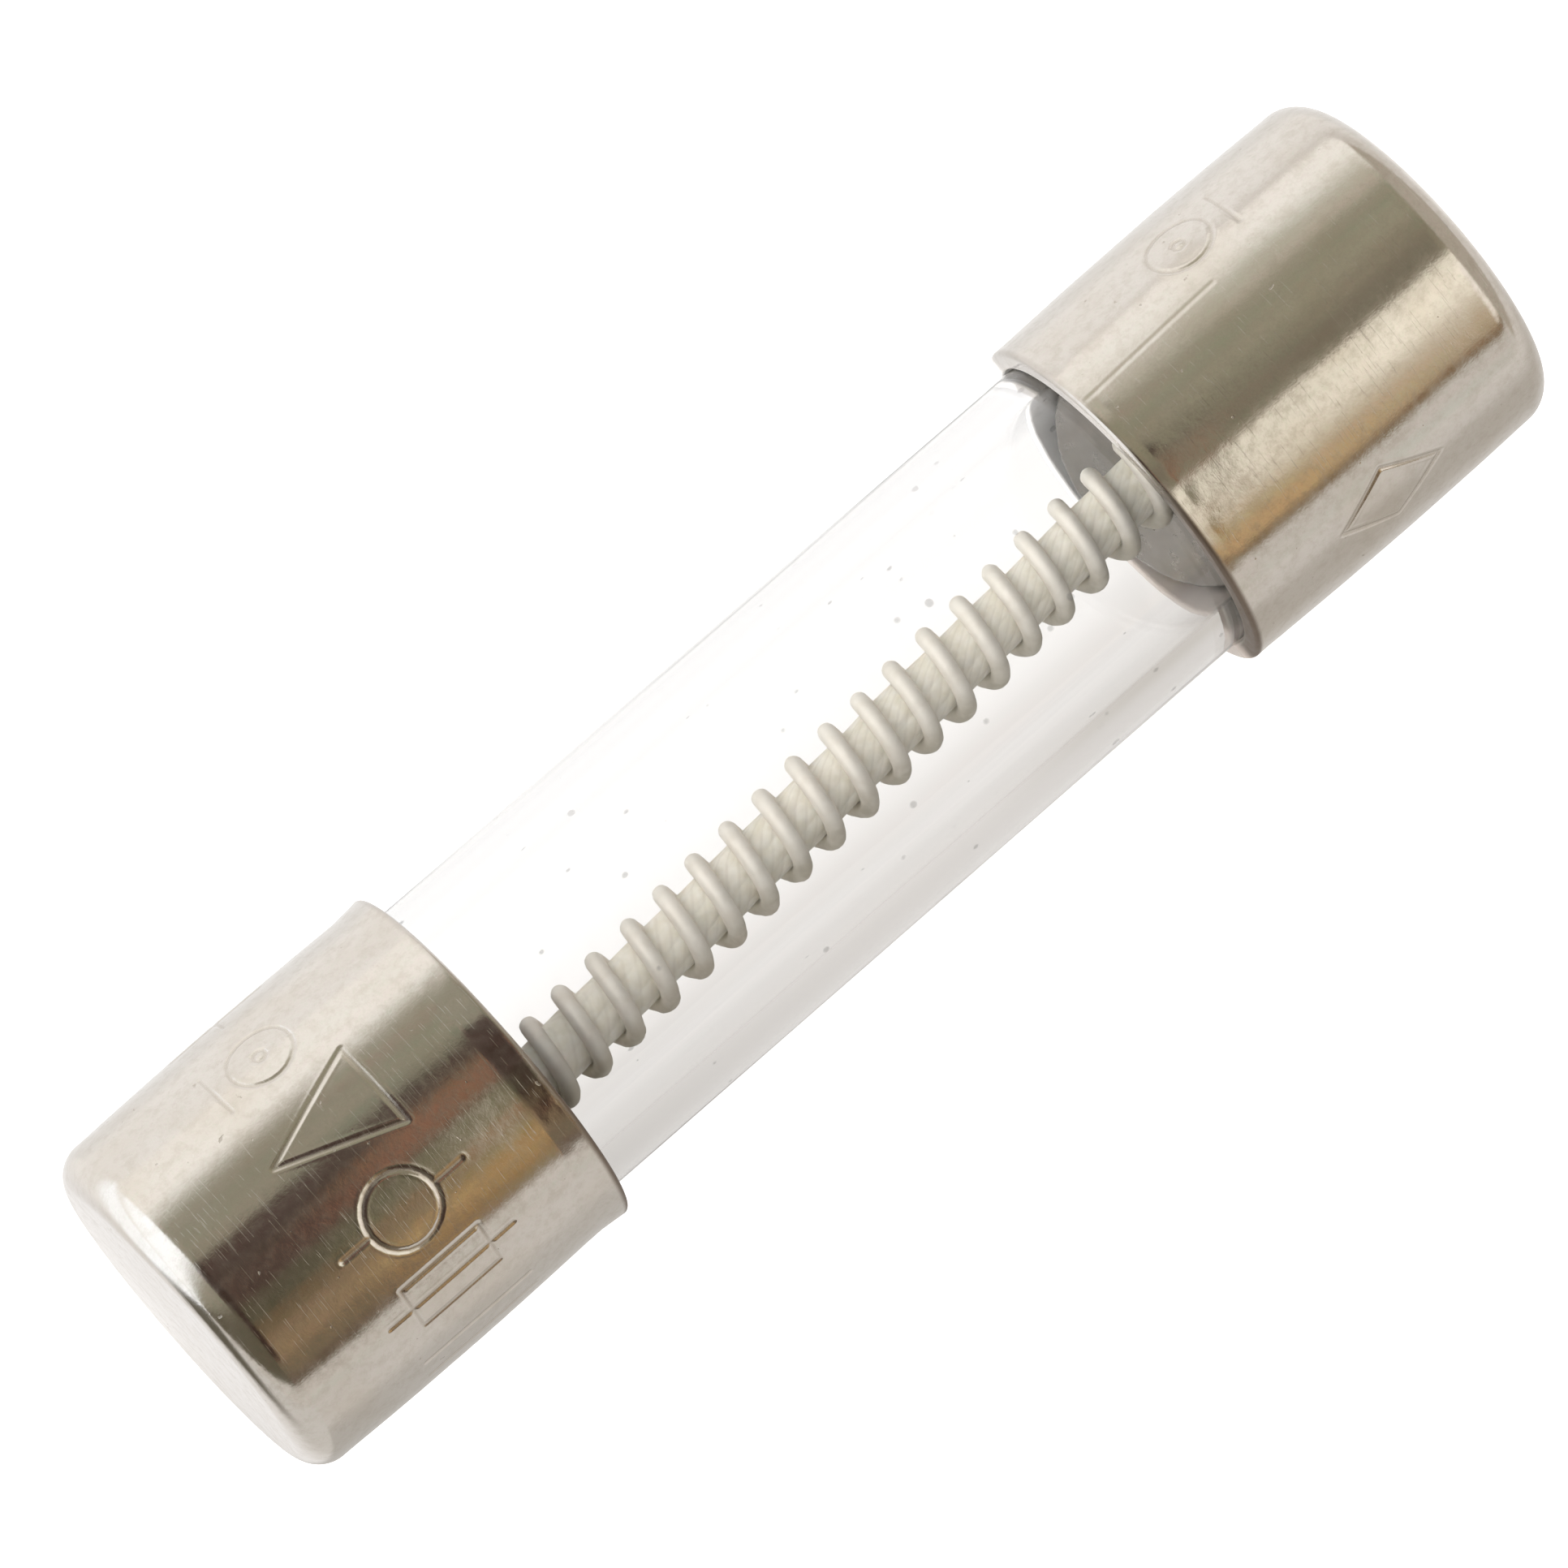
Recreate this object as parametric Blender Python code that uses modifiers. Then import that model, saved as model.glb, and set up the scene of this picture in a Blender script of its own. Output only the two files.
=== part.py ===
"""Cartridge fuse: a 5 x 20 mm time-lag fuse with a wound element in a glass tube.

The fuse lies along X, centred on the world origin, with +Z up. Two drawn metal cups close
the ends of a glass tube. Inside, a fuse wire is wound round a pale fibre core that runs
slightly askew from the solder in one cup to the solder in the other.
"""

import math

import bpy
from mathutils import Vector

MM = 0.001

# Overall size, inside the limits of the 5 x 20 mm standard
FUSE_LENGTH = 20.5 * MM
CAP_LENGTH = 5.05 * MM

# Cap: a drawn cup, a little fuller at the middle of its barrel than at its two ends
CAP_BELLY_RADIUS = 2.52 * MM
CAP_SHOULDER_RADIUS = 2.475 * MM
CAP_BORE_RADIUS = 2.215 * MM
CAP_FLOOR = 0.26 * MM
CAP_CORNER_ROUND = 0.45 * MM
CAP_FLOOR_ROUND = 0.18 * MM
CAP_LIP_LENGTH = 0.35 * MM
CAP_LIP_DRAFT = 0.05 * MM
CAP_RIM_ROUND = 0.06 * MM

# Glass tube
TUBE_RADIUS = 2.19 * MM
TUBE_BORE_RADIUS = 1.75 * MM
TUBE_END_ROUND = 0.15 * MM
TUBE_END_GAP = 0.06 * MM

# Solder slugs, each a plug in the bore with a pocket for the element's end. The face has set
# at a slant: it reaches further along the tube on the floor side.
SOLDER_RADIUS = TUBE_BORE_RADIUS - 0.03 * MM
SOLDER_FLOOR_GAP = 0.03 * MM
SOLDER_LEFT_FACE = 5.9 * MM
SOLDER_RIGHT_FACE = 5.48 * MM
SOLDER_SLANT = math.radians(16.7)
SOLDER_POCKET_GAP = 0.04 * MM
FACE_CUTTER_SIZE = 8 * MM

# Fuse element: its axis crosses the fuse's mid-plane off centre and rises towards +X
ELEMENT_OFFSET_Y = -0.245 * MM
ELEMENT_SLOPE = 0.059
ELEMENT_HALF_LENGTH = 6.9 * MM
WIRE_RADIUS = 0.13 * MM
WINDING_RADIUS = 0.49 * MM
WINDING_PITCH = 0.575 * MM
WINDING_PHASE = 1.693 * MM
POINTS_A_TURN = 11
CORE_RADIUS = 0.33 * MM

SEGMENTS = 64
ROUND_STEPS = 4
BARREL_STEPS = 6
MERGE_DISTANCE = 0.001 * MM
SHARP_ANGLE = math.radians(35)

COLLECTION_NAME = "cartridge_fuse"
CUTTER_COLLECTION_NAME = "cutters"


def clear_scene():
    """Remove every object, so that the script gives the same result in any file."""
    for old in list(bpy.data.objects):
        bpy.data.objects.remove(old, do_unlink=True)


def new_collection(name):
    """Make a collection and link it to the scene."""
    collection = bpy.data.collections.new(name)
    bpy.context.scene.collection.children.link(collection)
    return collection


def make_material(name, colour, roughness, metallic, transmission=0.0):
    """Make a Principled BSDF material."""
    material = bpy.data.materials.new(name)
    material.use_nodes = True
    shader = material.node_tree.nodes["Principled BSDF"]
    shader.inputs["Base Color"].default_value = (*colour, 1.0)
    shader.inputs["Roughness"].default_value = roughness
    shader.inputs["Metallic"].default_value = metallic
    shader.inputs["Transmission Weight"].default_value = transmission
    return material


def arc(centre_r, centre_z, radius, start_degrees, end_degrees):
    """Points (r, z) on an arc in a turned profile, from the start angle to the end angle."""
    points = []
    for step in range(ROUND_STEPS + 1):
        angle = math.radians(start_degrees + (end_degrees - start_degrees) * step / ROUND_STEPS)
        points.append((centre_r + radius * math.cos(angle), centre_z + radius * math.sin(angle)))
    return points


def turned_object(name, profile, closed, collection, material):
    """Turn a profile of (r, z) points round Z with a Screw modifier."""
    mesh = bpy.data.meshes.new(name)
    edges = [(index, index + 1) for index in range(len(profile) - 1)]
    if closed:
        edges.append((len(profile) - 1, 0))
    mesh.from_pydata([(r, 0.0, z) for r, z in profile], edges, [])
    turned = bpy.data.objects.new(name, mesh)
    collection.objects.link(turned)
    screw = turned.modifiers.new("turn", "SCREW")
    screw.axis = "Z"
    screw.steps = SEGMENTS
    screw.render_steps = SEGMENTS
    screw.use_merge_vertices = True
    screw.merge_threshold = MERGE_DISTANCE
    screw.use_smooth_shade = True
    finish_object(turned, material)
    return turned


def finish_object(thing, material):
    """Bake the modifiers into the mesh, shade it smooth and give it its material."""
    evaluated = thing.evaluated_get(bpy.context.evaluated_depsgraph_get())
    mesh = bpy.data.meshes.new_from_object(evaluated)
    thing.modifiers.clear()
    thing.data = mesh
    mesh.materials.clear()
    mesh.materials.append(material)
    mesh.shade_smooth()
    mesh.set_sharp_from_angle(angle=SHARP_ANGLE)


def barrel_radius(height):
    """Outer radius of a cap's barrel, from its mouth (height 0) to its closed end (1)."""
    return CAP_BELLY_RADIUS - (CAP_BELLY_RADIUS - CAP_SHOULDER_RADIUS) * (2.0 * height - 1.0) ** 2


def cap_profile():
    """Closed section of a cap with its closed end up, from the top centre round to the bore."""
    top = FUSE_LENGTH / 2
    mouth = top - CAP_LENGTH
    lip_top = mouth + CAP_LIP_LENGTH
    shoulder = top - CAP_CORNER_ROUND
    shoulder_radius = barrel_radius((shoulder - mouth) / CAP_LENGTH)
    points = [(0.0, top)]
    points += arc(shoulder_radius - CAP_CORNER_ROUND, shoulder, CAP_CORNER_ROUND, 90, 0)
    for step in range(1, BARREL_STEPS + 1):
        z = shoulder + (lip_top - shoulder) * step / BARREL_STEPS
        points.append((barrel_radius((z - mouth) / CAP_LENGTH), z))
    rim_radius = barrel_radius(0.0) - CAP_LIP_DRAFT
    points += arc(rim_radius - CAP_RIM_ROUND, mouth + CAP_RIM_ROUND, CAP_RIM_ROUND, 0, -90)
    points.append((CAP_BORE_RADIUS, mouth))
    floor = top - CAP_FLOOR
    corner = CAP_BORE_RADIUS - CAP_FLOOR_ROUND
    points += arc(corner, floor - CAP_FLOOR_ROUND, CAP_FLOOR_ROUND, 0, 90)
    points.append((0.0, floor))
    return points


def make_cap(name, side, collection, material):
    """A cap over the end of the tube at +X (side 1) or -X (side -1)."""
    cap = turned_object(name, cap_profile(), False, collection, material)
    cap.rotation_euler = (0.0, side * math.pi / 2, 0.0)
    return cap


def make_tube(collection, material):
    """The glass tube, with fire-polished ends."""
    half = FUSE_LENGTH / 2 - CAP_FLOOR - TUBE_END_GAP
    inner = TUBE_BORE_RADIUS + TUBE_END_ROUND
    outer = TUBE_RADIUS - TUBE_END_ROUND
    top = half - TUBE_END_ROUND
    profile = arc(inner, top, TUBE_END_ROUND, 180, 90)
    profile += arc(outer, top, TUBE_END_ROUND, 90, 0)
    profile += arc(outer, -top, TUBE_END_ROUND, 0, -90)
    profile += arc(inner, -top, TUBE_END_ROUND, -90, -180)
    tube = turned_object("glass_tube", profile, True, collection, material)
    tube.rotation_euler = (0.0, math.pi / 2, 0.0)
    return tube


def make_element_axis(collection):
    """An empty whose Z runs along the fuse element, at the element's middle."""
    axis = bpy.data.objects.new("element_axis", None)
    collection.objects.link(axis)
    axis.location = (0.0, ELEMENT_OFFSET_Y, 0.0)
    direction = Vector((1.0, ELEMENT_SLOPE, 0.0))
    axis.rotation_euler = direction.to_track_quat("Z", "Y").to_euler()
    return axis


def make_core(axis, collection, material):
    """The fibre core, a plain rod."""
    bpy.ops.mesh.primitive_cylinder_add(
        vertices=SEGMENTS // 4, radius=CORE_RADIUS, depth=2 * ELEMENT_HALF_LENGTH)
    core = bpy.context.object
    core.name = "element_core"
    for linked in list(core.users_collection):
        linked.objects.unlink(core)
    collection.objects.link(core)
    core.parent = axis
    finish_object(core, material)
    return core


def winding_points():
    """Points of the left-handed winding about Z, from one end of the core to the other."""
    inset = WIRE_RADIUS + SOLDER_POCKET_GAP
    length = 2 * (ELEMENT_HALF_LENGTH - inset)
    count = int(length / WINDING_PITCH * POINTS_A_TURN)
    points = []
    for step in range(count + 1):
        z = -length / 2 + length * step / count
        angle = 2 * math.pi * (z - WINDING_PHASE) / WINDING_PITCH
        points.append((WINDING_RADIUS * math.cos(angle), -WINDING_RADIUS * math.sin(angle), z))
    return points


def make_wire(axis, collection, material):
    """The fuse wire, wound round the core."""
    curve = bpy.data.curves.new("element_wire", "CURVE")
    curve.dimensions = "3D"
    curve.bevel_depth = WIRE_RADIUS
    curve.bevel_resolution = 2
    curve.use_fill_caps = True
    points = winding_points()
    spline = curve.splines.new("POLY")
    spline.points.add(len(points) - 1)
    for target, point in zip(spline.points, points):
        target.co = (*point, 1.0)
    curve.materials.append(material)
    wire = bpy.data.objects.new("element_wire", curve)
    collection.objects.link(wire)
    wire.parent = axis
    return wire


def store_cutter(cutter, name, collection):
    """Name a cutter, move it to the cutters' collection and keep it out of the render."""
    cutter.name = name
    for linked in list(cutter.users_collection):
        linked.objects.unlink(cutter)
    collection.objects.link(cutter)
    cutter.hide_render = True
    cutter.display_type = "WIRE"


def pocket_cutter(side, axis, collection):
    """A rod along the element, from its end at this side to well past the solder's face."""
    depth = ELEMENT_HALF_LENGTH
    radius = WINDING_RADIUS + WIRE_RADIUS + SOLDER_POCKET_GAP
    bpy.ops.mesh.primitive_cylinder_add(vertices=SEGMENTS // 2, radius=radius, depth=depth)
    cutter = bpy.context.object
    store_cutter(cutter, "pocket_cutter", collection)
    cutter.parent = axis
    cutter.location = (0.0, 0.0, side * (depth / 2 + SOLDER_POCKET_GAP))
    return cutter


def face_cutter(side, face, collection):
    """A block that leaves the slanted face, which crosses the fuse's axis at `face`."""
    bpy.ops.mesh.primitive_cube_add(size=FACE_CUTTER_SIZE)
    cutter = bpy.context.object
    store_cutter(cutter, "face_cutter", collection)
    back = FACE_CUTTER_SIZE / 2
    x = side * (face - back * math.cos(SOLDER_SLANT))
    cutter.location = (x, 0.0, back * math.sin(SOLDER_SLANT))
    cutter.rotation_euler = (0.0, side * SOLDER_SLANT, 0.0)
    return cutter


def cut(thing, cutter):
    """Cut a shape out of an object."""
    boolean = thing.modifiers.new(cutter.name, "BOOLEAN")
    boolean.operation = "DIFFERENCE"
    boolean.solver = "EXACT"
    boolean.object = cutter


def solder_profile(face):
    """Closed section of a slug, from the cup's floor to beyond the reach of its slanted face."""
    top = FUSE_LENGTH / 2 - CAP_FLOOR - SOLDER_FLOOR_GAP
    start = face - SOLDER_RADIUS
    return [(0.0, top), (SOLDER_RADIUS, top), (SOLDER_RADIUS, start), (0.0, start)]


def make_solder(name, side, face, axis, collection, cutters, material):
    """The solder slug under one cap, with its slanted face and the element's pocket."""
    solder = turned_object(name, solder_profile(face), False, collection, material)
    solder.rotation_euler = (0.0, side * math.pi / 2, 0.0)
    cut(solder, face_cutter(side, face, cutters))
    cut(solder, pocket_cutter(side, axis, cutters))
    bpy.context.view_layer.update()
    finish_object(solder, material)
    return solder


def build():
    """Build the fuse."""
    clear_scene()
    fuse = new_collection(COLLECTION_NAME)
    cutters = new_collection(CUTTER_COLLECTION_NAME)
    nickel = make_material("nickel_plate", (0.62, 0.58, 0.53), 0.22, 1.0)
    glass = make_material("clear_glass", (0.97, 0.98, 0.98), 0.02, 0.0, 1.0)
    fibre = make_material("fibre_core", (0.78, 0.75, 0.66), 0.8, 0.0)
    silver = make_material("silvered_wire", (0.80, 0.77, 0.71), 0.3, 1.0)
    tin = make_material("tin_solder", (0.45, 0.45, 0.46), 0.35, 1.0)

    make_tube(fuse, glass)
    make_cap("left_end_cap", -1, fuse, nickel)
    make_cap("right_end_cap", 1, fuse, nickel)
    axis = make_element_axis(fuse)
    make_core(axis, fuse, fibre)
    make_wire(axis, fuse, silver)
    make_solder("left_solder", -1, SOLDER_LEFT_FACE, axis, fuse, cutters, tin)
    make_solder("right_solder", 1, SOLDER_RIGHT_FACE, axis, fuse, cutters, tin)


build()
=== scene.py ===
"""Looks of the cartridge fuse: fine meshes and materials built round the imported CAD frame.

The fuse lies along X on a white floor. Every piece is worked out from the CAD nodes' boxes and
a few sizes in millimetres. The camera looks down on the fuse, with +X towards the top right.
"""

import math
from functools import reduce

import bpy
import numpy as np
from mathutils import Matrix, Vector


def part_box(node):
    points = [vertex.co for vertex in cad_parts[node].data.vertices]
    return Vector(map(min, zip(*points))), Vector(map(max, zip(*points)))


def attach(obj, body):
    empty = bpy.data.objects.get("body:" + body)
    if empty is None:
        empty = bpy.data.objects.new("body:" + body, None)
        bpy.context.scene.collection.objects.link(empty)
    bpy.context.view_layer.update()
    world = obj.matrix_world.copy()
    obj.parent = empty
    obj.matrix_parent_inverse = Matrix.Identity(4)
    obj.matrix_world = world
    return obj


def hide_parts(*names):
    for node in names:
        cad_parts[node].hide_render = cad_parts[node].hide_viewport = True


MM = 0.001
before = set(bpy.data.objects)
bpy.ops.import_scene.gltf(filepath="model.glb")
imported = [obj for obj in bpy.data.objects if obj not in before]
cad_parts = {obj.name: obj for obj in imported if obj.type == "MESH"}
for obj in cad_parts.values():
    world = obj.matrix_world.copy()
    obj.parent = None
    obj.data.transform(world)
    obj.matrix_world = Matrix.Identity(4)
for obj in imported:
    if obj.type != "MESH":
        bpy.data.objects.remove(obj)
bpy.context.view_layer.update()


def rgb(red, green, blue):
    """A colour with full alpha."""
    return (red, green, blue, 1.0)


# ---------------------------------------------------------------- sizes from the frame, in mm


def span(node):
    """Lowest and highest corner of a CAD node, in millimetres."""
    low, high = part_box(node)
    return np.array(low) / MM, np.array(high) / MM


FUSE_HALF = float(span("right_end_cap")[1][0])
CAP_RADIUS = float(span("right_end_cap")[1][2])
CAP_MOUTH = float(span("right_end_cap")[0][0])
TUBE_HALF = float(span("glass_tube")[1][0])
TUBE_RADIUS = float(span("glass_tube")[1][2])
SOLDER_RADIUS = float(span("right_solder")[1][2])
SOLDER_BACK = float(span("right_solder")[1][0])

# ---------------------------------------------------------------- sizes of the looks, in mm

SHOULDER_DROP = 0.045  # how much less the barrel's radius is at its ends than at its belly
CORNER_ROUND = 0.45
RIM_ROUND = 0.06
INNER_RIM_ROUND = 0.04
CAP_FLOOR_ROUND = 0.18
CAP_WALL = 0.26
CAP_BORE = 2.215
CAP_SEGMENTS = 960
FINE_STATION = 0.021  # spacing of the barrel's rings where the marks are
COARSE_STATION = 0.09

# Lips: how long, how far they step in, and how far they open again at the rim
LEFT_LIP = (0.46, 0.0, 0.030)
RIGHT_LIP = (0.27, 0.002, 0.0)
LIP_NECK = 0.06  # length of the step at the start of a lip

TUBE_BORE = 1.75
TUBE_END_ROUND = 0.17
TUBE_SEGMENTS = 256

LEFT_SOLDER_FACE = 5.99
RIGHT_SOLDER_FACE = 5.64
SOLDER_SLANT = 0.30  # the face reaches this much further along the tube for each mm down
SLANT_FADE = (0.6, 2.4)  # how far behind the face the slant starts to fade and is gone
SOLDER_EDGE_ROUND = 0.11
SOLDER_RIPPLE = 0.004
SOLDER_SEGMENTS = 160

CORE_RADIUS = 0.375
CORE_SEGMENTS = 120
CORE_RINGS = 700
STRANDS = 9
STRAND_TWIST = 2.2  # radians of strand phase a mm
STRAND_DEPTH = 0.018

WIRE_RADIUS = 0.12
WIRE_SIDES = 16
WIRE_END_INSET = 0.2
WIRE_WANDER = 0.007
WANDER_WAVES = 4
WINDING_RADIUS = 0.499
WINDING_SWELL = 0.006
WINDING_PITCH = 0.575
WINDING_PHASE = 1.693
POINTS_A_TURN = 40

STROKE_HALF_WIDTH = 0.03
STROKE_DEPTH = 0.013
BURR_SHARE = 0.2  # height of the burr beside a stroke, as a share of its depth
BURR_PLACE = 1.9  # the burr's distance from the stroke's middle, in half widths of the stroke
BURR_SPREAD = 0.7
MARK_CENTRE = FUSE_HALF - 2.68
MARK_REACH = 1.12
WAVES = 14  # how many waves add up to a waviness
DENT_HEIGHT = 0.0018
DENT_LENGTH = 1.6
DENT_FADE = (0.3, 0.7)  # how far from each end of the cap the dents begin and are full
CRIMP_HEIGHT = 0.0013
CRIMP_LENGTH = 0.3
CRIMP_RISE = (0.06, 0.14)  # how far from the mouth the crimping begins and is full
CRIMP_FADE = (0.25, 0.5)  # how far from the mouth it starts to fade and is gone

# ---------------------------------------------------------------- mesh helpers


def smooth_step(values, low, high):
    """0 below low, 1 above high, with a smooth rise between them."""
    t = np.clip((values - low) / (high - low), 0.0, 1.0)
    return t * t * (3.0 - 2.0 * t)


def arc(centre_x, centre_r, radius, start_degrees, end_degrees, count):
    """(x, r) points on an arc of a turned profile; 0 degrees points along +X."""
    angles = np.radians(np.linspace(start_degrees, end_degrees, count))
    return np.column_stack([centre_x + radius * np.cos(angles), centre_r + radius * np.sin(angles)])


def line(start, end, count):
    """(x, r) points on a straight stretch of a turned profile, without its first point."""
    t = np.linspace(0.0, 1.0, count + 1)[1:, None]
    return np.array(start) * (1.0 - t) + np.array(end) * t


def profile_normals(profile):
    """Unit normals (x, r) of a profile, on the right-hand side of its direction."""
    tangent = np.gradient(profile, axis=0)
    tangent /= np.maximum(np.linalg.norm(tangent, axis=1, keepdims=True), 1e-9)
    return np.column_stack([tangent[:, 1], -tangent[:, 0]])


def waviness(theta, x, radius, amplitude, length, seed):
    """Smooth random height over a barrel, from a few waves about `length` mm long."""
    random = np.random.default_rng(seed)
    height = np.zeros(np.broadcast(theta, x).shape)
    for _ in range(WAVES):
        lobes = random.integers(0, max(2, int(2 * math.pi * radius / length)) + 1)
        axial = random.normal() * 2 * math.pi / (1.6 * length)
        phase = random.uniform(0, 2 * math.pi)
        height = height + np.cos(lobes * theta + axial * x + phase)
    return height * amplitude / math.sqrt(WAVES)


def mesh_object(name, vertices, faces, material):
    """A smooth-shaded mesh object from millimetre vertices."""
    mesh = bpy.data.meshes.new(name)
    mesh.from_pydata((np.asarray(vertices) * MM).tolist(), [], faces)
    mesh.validate()
    mesh.shade_smooth()
    mesh.materials.append(material)
    thing = bpy.data.objects.new(name, mesh)
    bpy.context.scene.collection.objects.link(thing)
    return thing


def ring_faces(rings, count, closed=False):
    """Quads between consecutive rings of `count` vertices each."""
    faces = []
    last = rings if closed else rings - 1
    for ring in range(last):
        here = ring * count
        there = ((ring + 1) % rings) * count
        for step in range(count):
            after = (step + 1) % count
            faces.append((here + step, here + after, there + after, there + step))
    return faces


def turned_mesh(name, profile, segments, material, relief=None, closed=False, side=1):
    """Turn an (x, r) profile round X. Ends of the profile on the axis become single vertices.

    The profile has its outside on its right-hand side. relief(x, r, theta) gives the height,
    in mm, by which the surface stands out along its normal; theta is 0 at the top and grows
    towards +Y. Side -1 mirrors the finished shape to the other end of the fuse.
    """
    profile = np.asarray(profile, float)
    normals = profile_normals(profile)
    theta = np.arange(segments)[None, :] * 2 * math.pi / segments
    first = 0 if closed or profile[0, 1] > 1e-9 else 1
    last = len(profile) if closed or profile[-1, 1] > 1e-9 else len(profile) - 1
    x = profile[first:last, 0][:, None]
    r = profile[first:last, 1][:, None]
    height = relief(x, r, theta) if relief else np.zeros((len(x), segments))
    out_x = x + normals[first:last, 0][:, None] * height
    out_r = r + normals[first:last, 1][:, None] * height
    rings = np.stack([out_x, out_r * np.sin(theta), out_r * np.cos(theta)], axis=-1)
    vertices = rings.reshape(-1, 3).tolist()
    faces = ring_faces(len(x), segments, closed)
    if first:
        vertices.append([profile[0, 0], 0.0, 0.0])
        pole = len(vertices) - 1
        faces += [(pole, (step + 1) % segments, step) for step in range(segments)]
    if last < len(profile):
        vertices.append([profile[-1, 0], 0.0, 0.0])
        pole = len(vertices) - 1
        base = (len(x) - 1) * segments
        faces += [(base + step, base + (step + 1) % segments, pole) for step in range(segments)]
    if side < 0:
        vertices = [[-vx, vy, vz] for vx, vy, vz in vertices]
        faces = [tuple(reversed(face)) for face in faces]
    return mesh_object(name, vertices, faces, material)


def tube_along(name, path, radius, sides, material):
    """A round tube along a path of points, with closed ends."""
    path = np.asarray(path, float)
    tangent = np.gradient(path, axis=0)
    tangent /= np.linalg.norm(tangent, axis=1, keepdims=True)
    normal = np.cross(tangent[0], (0.0, 0.0, 1.0))
    vertices = []
    for point, direction in zip(path, tangent):
        normal = normal - direction * np.dot(normal, direction)
        normal /= np.linalg.norm(normal)
        side = np.cross(direction, normal)
        for step in range(sides):
            angle = 2 * math.pi * step / sides
            vertices.append(point + radius * (math.cos(angle) * normal + math.sin(angle) * side))
    faces = ring_faces(len(path), sides)
    faces.append(tuple(reversed(range(sides))))
    faces.append(tuple(range((len(path) - 1) * sides, len(path) * sides)))
    return mesh_object(name, vertices, faces, material)


# ---------------------------------------------------------------- material helpers


class Shader:
    """A node material under construction, with short calls for the nodes used here."""

    def __init__(self, name):
        self.material = bpy.data.materials.new(name)
        self.material.use_nodes = True
        self.tree = self.material.node_tree
        self.tree.nodes.clear()
        self.output = self.tree.nodes.new("ShaderNodeOutputMaterial")
        self.point = self.node("ShaderNodeTexCoord").outputs["Object"]
        self.mm = self.vector_math("SCALE", self.point, scale=1.0 / MM)

    def put(self, socket, value):
        """Link a socket or set its value."""
        if isinstance(value, bpy.types.NodeSocket):
            self.tree.links.new(value, socket)
        else:
            socket.default_value = value

    def node(self, kind, inputs=None, **settings):
        """Add a node, with its settings and inputs."""
        made = self.tree.nodes.new(kind)
        for key, value in settings.items():
            setattr(made, key, value)
        for key, value in (inputs or {}).items():
            self.put(made.inputs[key], value)
        return made

    def vector_math(self, operation, a, b=(0.0, 0.0, 0.0), scale=1.0):
        """Vector arithmetic."""
        made = self.node("ShaderNodeVectorMath", {0: a, 1: b}, operation=operation)
        if operation == "SCALE":
            made.inputs["Scale"].default_value = scale
        return made.outputs["Vector"]

    def math(self, operation, a, b=0.0):
        """Scalar arithmetic."""
        return self.node("ShaderNodeMath", {0: a, 1: b}, operation=operation).outputs["Value"]

    def product(self, *factors):
        """Product of two or more scalars."""
        return reduce(lambda a, b: self.math("MULTIPLY", a, b), factors)

    def total(self, *terms):
        """Sum of two or more scalars."""
        return reduce(lambda a, b: self.math("ADD", a, b), terms)

    def ramp(self, value, low, high, to_low=0.0, to_high=1.0):
        """Smooth step of a value from low..high to to_low..to_high."""
        made = self.node("ShaderNodeMapRange", {
            "Value": value, "From Min": low, "From Max": high, "To Min": to_low, "To Max": to_high,
        }, interpolation_type="SMOOTHSTEP")
        return made.outputs["Result"]

    def fall(self, value, low, high):
        """1 below low, 0 above high, with a smooth fall between them."""
        return self.ramp(value, low, high, 1.0, 0.0)

    def strip(self, value, rise, fall):
        """1 between two soft edges and 0 beyond; each edge is where it begins and where it ends."""
        return self.product(self.ramp(value, *rise), self.fall(value, *fall))

    def noise(self, vector, scale, detail=2.0, roughness=0.5, distortion=0.0):
        """Noise between 0 and 1."""
        made = self.node("ShaderNodeTexNoise", {
            "Vector": vector, "Scale": scale, "Detail": detail, "Roughness": roughness,
            "Distortion": distortion,
        })
        return made.outputs["Fac"]

    def mix(self, factor, a, b):
        """Mix of two colours."""
        made = self.node("ShaderNodeMix", data_type="RGBA")
        self.put(made.inputs[0], factor)
        self.put(made.inputs[6], a)
        self.put(made.inputs[7], b)
        return made.outputs[2]

    def length(self, vector):
        """Length of a vector."""
        return self.node("ShaderNodeVectorMath", {0: vector}, operation="LENGTH").outputs["Value"]

    def split(self, vector):
        """X, Y and Z of a vector."""
        return self.node("ShaderNodeSeparateXYZ", {0: vector}).outputs

    def combine(self, x, y, z):
        """A vector of three scalars."""
        made = self.node("ShaderNodeCombineXYZ", {"X": x, "Y": y, "Z": z})
        return made.outputs["Vector"]

    def unrolled(self):
        """Angle round X in radians (0 at the top, positive towards -Y), and X in mm."""
        parts = self.split(self.mm)
        angle = self.math("ARCTAN2", self.product(parts[1], -1.0), parts[2])
        return angle, parts[0]

    def bump(self, height, strength, distance_mm):
        """Normal from a height."""
        made = self.node("ShaderNodeBump", {
            "Height": height, "Strength": strength, "Distance": distance_mm * MM,
        })
        return made.outputs["Normal"]

    def principled(self, inputs):
        """Principled BSDF."""
        return self.node("ShaderNodeBsdfPrincipled", inputs).outputs["BSDF"]

    def emission(self, colour, strength=1.0):
        """Emission of a colour."""
        return self.node("ShaderNodeEmission", {"Color": colour, "Strength": strength}).outputs[0]

    def finish(self, shader):
        """Connect the surface and return the material."""
        self.put(self.output.inputs["Surface"], shader)
        return self.material


# ---------------------------------------------------------------- materials

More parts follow.
